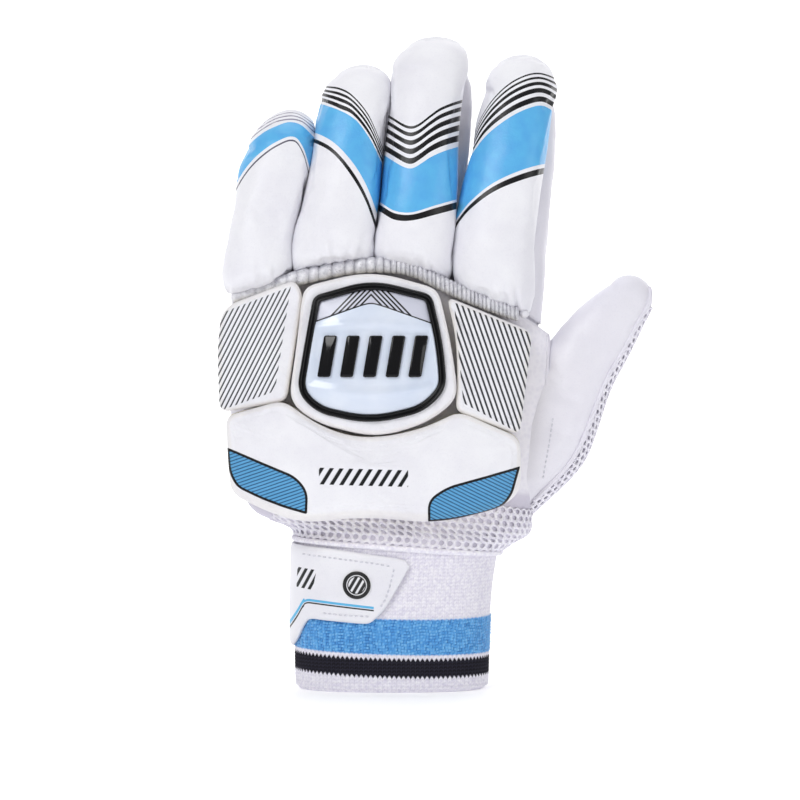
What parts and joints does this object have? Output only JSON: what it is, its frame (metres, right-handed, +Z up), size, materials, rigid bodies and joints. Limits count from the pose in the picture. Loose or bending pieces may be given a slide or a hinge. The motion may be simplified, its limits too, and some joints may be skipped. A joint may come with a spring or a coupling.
{
  "type": "cricket batting glove",
  "caption": "Left-hand padded batting glove with finger rolls, a raised shield on the back of the hand, a strapped knit cuff and an open inside for the hand.",
  "frame": {"origin": "on the surface it stands on, under the middle of the glove's overall width and depth", "axes": "+Z up from the wrist to the fingertips, +X towards the thumb, +Y towards the palm side; the back of the hand faces -Y"},
  "size_m": [0.1898, 0.0756, 0.2857],
  "materials": {
    "leather": "soft white grained leather over foam, satin",
    "mesh": "white open air mesh, matte",
    "knit": "white ribbed knit with a blue and a black band, matte",
    "silver": "silver-grey coated strip, ribbed, satin",
    "gloss_shield": "pale blue-white moulded shield, glossy",
    "gloss_black": "black moulded ring, glossy",
    "rubber": "black rubber badge, satin"
  },
  "bodies": {
    "root": {"back_mesh": "mesh", "index_roll": "leather", "index_stall": "leather", "knit_cuff": "knit", "knuckle_strip": "silver", "left_pad": "leather", "little_roll": "leather", "little_stall": "leather", "middle_roll": "leather", "middle_stall": "leather", "palm_leather": "leather", "right_pad": "leather", "ring_roll": "leather", "ring_stall": "leather", "shield_dome": "gloss_shield", "shield_pad": "leather", "shield_ring": "gloss_black", "strap_badge": "rubber", "thumb_leather": "leather", "thumb_mesh": "mesh", "wrist_pad": "leather", "wrist_strap": "leather"}
  },
  "joints": []
}
